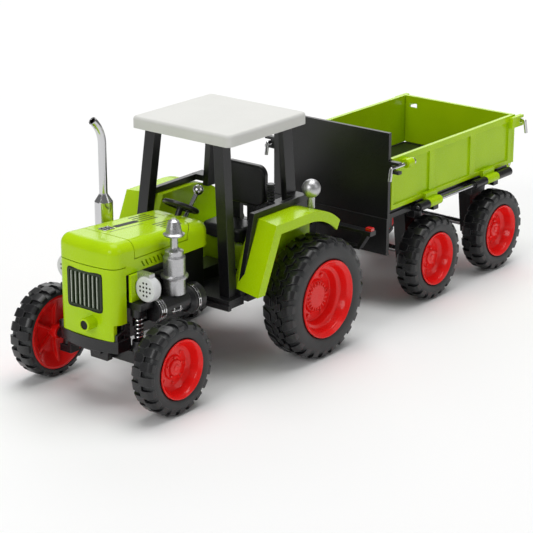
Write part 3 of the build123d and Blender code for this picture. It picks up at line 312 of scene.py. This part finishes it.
class Wheel:
    """Where one wheel is: its outer face, axle height and side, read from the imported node."""

    def __init__(self, node, side):
        low, high = (Vector(corner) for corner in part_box(node))
        self.side = side
        self.face = max(abs(low.x), abs(high.x))
        self.y = (low.y + high.y) / 2
        self.z = (low.z + high.z) / 2

    def point(self, inward, radius, angle):
        """Place of a point given in mm from the outer face and mm from the axle."""
        return Vector((self.side * (self.face - inward * MM),
                       self.y + radius * MM * sin(angle), self.z + radius * MM * cos(angle)))

    def lathe(self, bm, outline, turns=96):
        """Turned body; the outline is closed, in (inward, radius)."""
        turned(bm, self.point, outline, turns)

    def lug(self, bm, sections, angle, draft=0.25, material=0):
        """Tread block lofted across the tyre; sections are (inward, start, end, top, foot) in mm."""
        rows = []
        for inward, start, end, top, foot in sections:
            corners = ((foot, start), (top, start + draft), (top, end - draft), (foot, end))
            rows.append([bm.verts.new(self.point(inward, r, angle + along / top))
                         for r, along in corners])
        skin(bm, rows[::-1], material=material)
        bm.faces.new(rows[0]).material_index = material
        bm.faces.new(rows[-1]).material_index = material

    def rib(self, bm, outline, angle, half):
        """Radial plate; the outline is in (inward, radius) and half is half its thickness in mm."""
        aside = Vector((0, cos(angle), -sin(angle))) * half * MM
        prism(bm, [self.point(u, r, angle) + aside for u, r in outline], -2 * aside)

    def disc(self, bm, inward, height, distance, angle, radius):
        """Small round boss facing outwards, distance from the axle."""
        centre = self.point(inward, distance, angle)
        sides, shoulder, taper = 20, 0.7, 0.75
        out = Vector((self.side * height * MM, 0, 0))
        base, top, crown = [], [], []
        for k in range(sides):
            turn = 2 * pi * k / sides
            across = Vector((0, sin(turn), cos(turn))) * radius * MM
            base.append(bm.verts.new(centre + across))
            top.append(bm.verts.new(centre + across + out * shoulder))
            crown.append(bm.verts.new(centre + across * taper + out))
        skin(bm, [crown, top, base])
        bm.faces.new(crown)


# ---- tyres and rims -----------------------------------------------------------------------------
SMALL_WIDTH, SMALL_R = 18.0, 30.0
REAR_WIDTH, REAR_R = 26.0, 40.6


def small_tyre(bm, wheel):
    """Tyre with two staggered rows of chunky blocks."""
    w, r = SMALL_WIDTH, SMALL_R
    carcass = [(1.9, 17.3), (1.9, 19.3), (1.0, 19.9), (0.45, 22.0), (0.5, 24.4), (1.2, 26.4),
               (3.4, 28.0), (w - 3.2, 28.0), (w - 1.0, 26.8), (w - 0.5, 25.8), (w - 0.5, 24.8),
               (w - 2.3, 23.7), (10.4, 17.3)]
    wheel.lathe(bm, eased(carcass, 1.3), turns=120)
    blocks = 20
    for k in range(blocks):
        angle = 2 * pi * k / blocks
        outer = [(0.72, -2.5, 2.5, 26.4, 25.0), (1.0, -2.9, 2.9, 28.2, 26.0),
                 (2.5, -3.2, 3.2, 29.5, 27.0), (3.9, -3.3, 3.3, r, 27.4),
                 (8.6, -3.5, 3.0, r, 27.4), (10.0, -2.0, 1.8, r, 27.4)]
        wheel.lug(bm, outer, angle, material=1)
        inner = [(w - u, start, end, top, foot) for u, start, end, top, foot in outer]
        wheel.lug(bm, inner, angle + pi / blocks, material=1)


def rear_tyre(bm, wheel):
    """Tall tyre with slanted, interlocking blocks in four staggered rows."""
    w, r = REAR_WIDTH, REAR_R
    carcass = [(2.1, 24.3), (2.1, 26.4), (1.1, 27.0), (0.4, 30.0), (0.35, 33.6), (1.0, 36.6),
               (3.6, 38.6), (w - 3.4, 38.6), (w - 0.9, 36.6), (w - 0.4, 33.6), (w - 0.4, 29.6),
               (w - 2.6, 26.2), (w - 2.6, 24.3)]
    wheel.lathe(bm, eased(carcass, 1.6), turns=144)
    blocks = 24
    for k in range(blocks):
        angle = 2 * pi * k / blocks
        shoulder = [(0.62, 0.4, 5.4, 35.8, 34.0), (0.95, 0.0, 6.0, 38.2, 36.0),
                    (2.4, -0.6, 6.0, 39.9, 37.0), (4.2, -1.4, 5.4, r, 37.4),
                    (8.2, -3.4, 2.8, r, 37.4)]
        middle = [(9.2, -4.2, 0.9, r, 37.4), (10.8, -5.0, 1.0, r, 37.4),
                  (13.9, -6.8, -2.0, r, 37.4)]
        for rows, half in ((shoulder, 0.0), (middle, 0.5)):
            step = 2 * pi * half / blocks
            wheel.lug(bm, rows, angle + step, material=1)
            mirrored = [(w - u, start, end, top, foot) for u, start, end, top, foot in rows]
            wheel.lug(bm, mirrored, angle + step + pi / blocks, material=1)


def small_rim(bm, wheel):
    """Dished wheel with a rolled lip, a raised hub, studs, and six ribs in its wide back."""
    w = SMALL_WIDTH - 1
    outline = [(0.25, 18.3), (0.0, 18.7), (0.5, 19.15), (1.5, 19.1), (1.8, 17.2),
               (10.4, 17.2), (w - 1.3, 23.6), (w - 0.6, 24.6), (w + 0.2, 24.6), (w + 0.3, 23.0),
               (11.6, 14.4), (11.2, 4.6), (w + 0.4, 4.6), (w + 0.4, 0.001), (4.9, 0.001),
               (4.9, 2.0), (5.4, 2.5), (5.7, 5.0), (7.2, 5.4), (7.6, 7.2), (8.9, 7.8), (9.1, 12.6),
               (7.4, 15.0), (2.2, 16.7), (0.8, 17.7)]
    wheel.lathe(bm, eased(outline, 0.5))
    for k in range(5):
        wheel.disc(bm, 7.3, 0.8, 6.2, 2 * pi * k / 5, 0.75)
    for k in range(8):
        wheel.disc(bm, 9.3, 1.0, 10.6, 2 * pi * k / 8, 1.0)
    for k in range(6):
        rib = [(11.0, 4.4), (w - 3.5, 4.4), (w - 1.2, 22.6), (w - 1.6, 23.4), (11.0, 14.0)]
        wheel.rib(bm, rib, 2 * pi * k / 6, 0.8)


def rear_rim(bm, wheel):
    """Deep two-step wheel with a toothed nut ring, studs and a flat hub."""
    w = REAR_WIDTH - 1
    outline = [(0.25, 25.3), (0.0, 25.8), (0.5, 26.3), (1.7, 26.25), (2.0, 24.2), (w - 1.6, 24.2),
               (w - 1.4, 25.3), (w, 25.3), (w, 22.6), (15.4, 19.4), (15.2, 6.0), (w + 1, 6.0),
               (w + 1, 0.001), (9.3, 0.001), (9.3, 7.3), (9.6, 8.0), (10.4, 8.4), (10.7, 10.6),
               (12.4, 11.2), (12.8, 17.2), (7.8, 18.7), (7.2, 21.4), (2.4, 22.9), (0.8, 24.7)]
    wheel.lathe(bm, eased(outline, 0.6), turns=120)
    teeth = 20
    for k in range(teeth):
        tooth = [(9.2, -0.55, 0.55, 9.9, 7.0), (10.9, -0.7, 0.7, 9.9, 7.0)]
        wheel.lug(bm, tooth, 2 * pi * k / teeth, draft=0.1)
    for k in range(6):
        wheel.disc(bm, 12.7, 1.4, 14.2, 2 * pi * (k + 0.5) / 6, 1.5)


def build_wheels():
    """Every tyre and rim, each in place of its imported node."""
    pairs = [("front_wheel_left", "front_tyre_left", "front_rim_left", (1,), small_tyre, small_rim),
             ("front_wheel_right", "front_tyre_right", "front_rim_right", (-1,), small_tyre,
              small_rim),
             ("rear_wheels", "rear_tyres", "rear_rims", (1, -1), rear_tyre, rear_rim)]
    for place in ("front", "rear"):
        stem = "trailer_" + place
        pairs.append((stem + "_wheels", stem + "_tyres", stem + "_rims", (1, -1), small_tyre,
                      small_rim))
    for body, tyre_node, rim_node, sides, make_tyre, make_rim in pairs:
        jobs = ((tyre_node, make_tyre, ("tyre", "rubber_tread"), 0.25 * MM),
                (rim_node, make_rim, ("red",), 0.0))
        for node, make, materials, bevel in jobs:
            bm = bmesh.new()
            for side in sides:
                make(bm, Wheel(rim_node, side))
            made = piece(node + "_shown", bm, materials, bevel)
            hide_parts(node)
            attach(made, body)


# ---- trim ---------------------------------------------------------------------------------------
NOSE_FRONT_Y, NOSE_BOW, NOSE_HALF = -155.0, 3.0, 24.3
LID_TOP_Z, LID_SLOPE = 106.6, 6.0 / 93.0
SINK = 0.2                 # mm: how deep the lid's trim is set into it
INLAY = rectangle(-9.2, -5.0, -119.0, -98.3)
GROOVE = rectangle(-1.1, -0.5, -130.0, -99.0)
VENT = rectangle(-10.4, -4.4, -130.4, -121.4)
LOUVRES_X, LOUVRE_HALF = (5.2, 8.5, 11.8, 15.1), 0.62


def nose_y(x):
    """Y of the bowed front of the nose at x."""
    return NOSE_FRONT_Y + NOSE_BOW * (x / NOSE_HALF) ** 2


def lid_z(y):
    """Height of the sloping top of the hood at y."""
    return LID_TOP_Z - LID_SLOPE * (y - NOSE_FRONT_Y)


def grille_trim():
    """Black rounded surround, and ridges on the bars whose pale grey is a painted highlight."""
    low, high = (corner / MM for corner in (Vector(c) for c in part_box("grille")))
    edge, bars, first_x, pitch = 0.3, 7, -11.15, 3.6
    corners = rectangle(low.x - edge, high.x + edge, low.z - edge, high.z + edge)
    path = [at(x, nose_y(x) - 0.1, z) for x, z in eased(corners, 2.6)]
    bm = bmesh.new()
    tube(bm, path, 0.45 * MM, Vector((0, -1, 0)))
    add("grille_surround", bm, ["deep_black"], "tractor")
    # Pale ridges on the bars: their grey is a painted highlight.
    bm = bmesh.new()
    for k in range(bars):
        x = first_x + pitch * k
        ends = [at(x, -154.2, low.z + 1.7), at(x, -154.35, low.z + 2.4),
                at(x, -154.35, high.z - 2.4), at(x, -154.2, high.z - 1.7)]
        tube(bm, ends, 0.42 * MM, Vector((0, -1, 0)), closed=False)
    add("grille_ridge_highlights", bm, ["bar_highlight_grey"], "tractor")


def on_lid(bm, outline, proud):
    """Thin slab lying on the lid, proud of it by that many mm."""
    prism(bm, [at(x, y, lid_z(y) - SINK) for x, y in outline],
          Vector((0, 0, (SINK + proud) * MM)))


def lid_trim():
    """Inlay, groove and vent on the lid, dark strips over its louvres as painted shade, and dark
    backing behind the hood's side slits as painted shade.
    """
    bm = bmesh.new()
    on_lid(bm, INLAY, 0.15)
    on_lid(bm, GROOVE, 0.04)
    on_lid(bm, VENT, 0.1)
    # Dark strips over the louvre slots: painted shade in the openings.
    for x in LOUVRES_X:
        for middle in (-x, x):
            on_lid(bm, rectangle(middle - LOUVRE_HALF, middle + LOUVRE_HALF, -97.5, -81.0), 0.04)
    add("lid_inlay_and_slot_shade", bm, ["deep_black"], "lid", 0.08 * MM)
    bm = bmesh.new()
    frame_path = [at(x, y, lid_z(y) + 0.15) for x, y in eased(VENT, 1.0)]
    tube(bm, frame_path, 0.3 * MM, Vector((0, 0, 1)))
    for y in (-127.6, -124.4):
        bar = [at(-10.3, y, lid_z(y) + 0.2), at(-4.5, y, lid_z(y) + 0.2)]
        tube(bm, bar, 0.45 * MM, Vector((0, 0, 1)), closed=False)
    add("lid_vent", bm, ["chrome"], "lid")
    # Black plates behind the side slits: painted shade seen through them.
    bm = bmesh.new()
    for side in (-1, 1):
        plate = [at(side * 22.2, y, z) for y, z in rectangle(-132.0, -106.0, 86.2, 91.8)]
        prism(bm, plate, Vector((-side * 0.3 * MM, 0, 0)))
    add("slit_shade", bm, ["deep_black"], "tractor")


def canister_trim():
    """Slots round the rear clamp band of the air cleaner, and the wire clip on its side."""
    centre_x, centre_z = 32.2, 59.2
    band_r, band_y = 9.82, -94.5
    slots = 14
    bm = bmesh.new()
    for k in range(slots):
        turn = 2 * pi * k / slots
        out = Vector((cos(turn), 0, sin(turn)))
        along = Vector((-sin(turn), 0, cos(turn)))
        middle = at(centre_x, band_y, centre_z) + out * (band_r - 0.2) * MM
        corners = [middle + along * a * MM + Vector((0, b * MM, 0)) for a, b in
                   eased(rectangle(-1.5, 1.5, -0.45, 0.45), 0.4, 3)]
        prism(bm, corners, out * 0.28 * MM)
    add("band_slots", bm, ["deep_black"], "tractor")
    bm = bmesh.new()
    clip = [at(38.4, -117.0, 58.2), at(39.9, -116.6, 58.4), at(40.0, -113.0, 58.4),
            at(39.9, -109.6, 58.4), at(38.4, -109.2, 58.2)]
    tube(bm, clip, 0.5 * MM, Vector((0, 0, 1)), closed=False)
    for y in (-116.0, -110.2):
        foot = [at(38.6, y, 56.8), at(39.2, y, 58.4), at(38.8, y, 60.2)]
        tube(bm, foot, 0.6 * MM, Vector((0, 1, 0)), closed=False)
    add("canister_clip", bm, ["chrome"], "tractor")


def lamp_hole_shade():
    """Black discs in the faces of the two headlamps, painted shade standing for their holes."""
    lamp_x, face_y, lamp_z, pitch, hole_r, hole_sides = 33.5, -136.3, 76.5, 2.65, 0.74, 12
    bm = bmesh.new()
    for side in (-1, 1):
        for row, count in ((1.5, 2), (0.5, 4), (-0.5, 4), (-1.5, 2)):
            for k in range(count):
                x = side * lamp_x + (k - (count - 1) / 2) * pitch
                z = lamp_z + row * pitch
                rod(bm, at(x, face_y - 0.06, z), at(x, face_y + 0.5, z), hole_r, hole_sides)
    add("lamp_hole_shade", bm, ["deep_black"], "tractor")


def crank_collar():
    """Thicker rim round the crank socket, with a black disc at its bottom as painted shade in the
    socket.
    """
    x, z, mouth, root, sides = 6.0, 54.6, -162.2, -153.6, 40
    bm = bmesh.new()
    outline = [(mouth, 3.0), (mouth, 3.9), (mouth + 0.4, 4.2), (root, 4.3), (root, 3.6),
               (mouth + 0.6, 3.55), (mouth + 0.6, 3.0)]
    turned(bm, lambda y, r, a: at(x + r * cos(a), y, z + r * sin(a)), outline, sides)
    # Black disc inside the mouth: painted shade in the socket.
    rod(bm, at(x, mouth + 0.55, z), at(x, mouth + 0.75, z), 3.1, sides, material=1)
    add("crank_collar", bm, ["green", "deep_black"], "tractor")


def suspension():
    """Front coils that end clear of the rocking beam, and the seat cups below them."""
    x, y, low, high = 27.2, -135.7, 42.65, 57.7
    turns, coil_r, wire_r, steps, wire_sides = 5.5, 2.55, 0.55, 20, 8
    bm = bmesh.new()
    for side in (-1, 1):
        rings = []
        count = int(turns * steps)
        for k in range(count + 1):
            a = 2 * pi * k / steps
            out = Vector((cos(a), sin(a), 0))
            centre = at(side * x, y, low + (high - low) * k / count) + out * coil_r * MM
            rings.append([bm.verts.new(centre + (out * cos(b) + Vector((0, 0, sin(b)))) * wire_r * MM)
                          for b in (2 * pi * j / wire_sides for j in range(wire_sides))])
        skin(bm, rings[::-1])
        bm.faces.new(rings[0])
        bm.faces.new(rings[-1])
    made = piece("front_springs_shown", bm, ["steel"])
    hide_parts("front_springs")
    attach(made, "tractor")
    bm = bmesh.new()
    cup_turns = 40
    cup = [(36.6, 4.4), (41.9, 4.4), (42.2, 4.2), (42.2, 4.0), (42.0, 3.9), (36.6, 3.9)]
    for middle in (-x, x):
        turned(bm, lambda z, r, a: at(middle + r * cos(a), y + r * sin(a), z), cup, cup_turns)
    add("spring_cups", bm, ["black"], "front_axle")


def bed_gap_shade():
    """Black strips under the edges of the drop sides and the tailgate, closing the gaps; their black
    is painted shade in the gaps.
    """
    edge, inner, low, high = 47.9, 46.4, 72.6, 73.65
    front, back, lip, lip_half = 98.2, 252.0, 254.2, 46.0
    bm = bmesh.new()
    for plan in (rectangle(-inner, -edge, front, back), rectangle(inner, edge, front, back),
                 rectangle(-lip_half, lip_half, back - 0.5, lip)):
        prism(bm, [at(x, y, low) for x, y in plan], Vector((0, 0, (high - low) * MM)))
    add("bed_gap_shade", bm, ["black"], "trailer")


# ---- light, floor and camera --------------------------------------------------------------------
def floor():
    """Pale plain ground, well beyond the view."""
    half_width, sunk = 6, 0.0002
    bm = bmesh.new()
    bmesh.ops.create_grid(bm, x_segments=2, y_segments=2, size=half_width)
    mesh = bpy.data.meshes.new("floor")
    bm.to_mesh(mesh)
    bm.free()
    material, tree, main = shader("floor_white")
    tree.links.new(mixed(tree, noise(tree, 3), (0.90, 0.90, 0.90), (0.92, 0.92, 0.92)),
                   main.inputs["Base Color"])
    main.inputs["Roughness"].default_value = 0.9
    mesh.materials.append(material)
    ground = bpy.data.objects.new("floor", mesh)
    ground.location.z = -sunk
    bpy.context.scene.collection.objects.link(ground)


def softbox(name, place, target, size, power):
    """Square area light aimed at a point."""
    lamp = bpy.data.lights.new(name, "AREA")
    lamp.size = size
    lamp.energy = power
    made = bpy.data.objects.new(name, lamp)
    made.location = place
    made.rotation_euler = (Vector(target) - Vector(place)).to_track_quat("-Z", "Y").to_euler()
    bpy.context.scene.collection.objects.link(made)


def studio():
    """Wide soft light from above, with weaker ones behind, at the front and left for the gloss."""
    world = bpy.data.worlds.new("studio")
    world.use_nodes = True
    world.node_tree.nodes["Background"].inputs["Color"].default_value = (1, 1, 1, 1)
    world.node_tree.nodes["Background"].inputs["Strength"].default_value = 0.2
    bpy.context.scene.world = world
    middle = (0, 0, 0.08)
    softbox("overhead", (-0.1, 0.4, 2.6), (0, 0.3, 0), 2.2, 55)
    softbox("left", (1.5, 0.5, 0.9), middle, 0.9, 3)
    softbox("back", (-1.2, 1.5, 1.1), middle, 1.6, 12)
    softbox("front", (0.1, -1.6, 0.9), middle, 0.8, 9)
    bpy.context.scene.view_settings.view_transform = "Standard"


def camera():
    """The view from the front left, a little above the roof."""
    azimuth, elevation = radians(38.86), radians(18.87)
    backward = Vector((sin(azimuth) * cos(elevation), -cos(azimuth) * cos(elevation),
                       sin(elevation)))
    lens = bpy.data.cameras.new("camera")
    lens.lens = 132.96
    lens.sensor_width = 36
    made = bpy.data.objects.new("camera", lens)
    made.location = Vector((798.94, -968.49, 477.17)) * MM + Vector((0, REAR_AXLE.y, 0))
    made.rotation_euler = backward.to_track_quat("Z", "Y").to_euler()
    bpy.context.scene.collection.objects.link(made)
    bpy.context.scene.camera = made


paint_frame()
build_wheels()
grille_trim()
lid_trim()
canister_trim()
lamp_hole_shade()
crank_collar()
suspension()
bed_gap_shade()
floor()
studio()
camera()
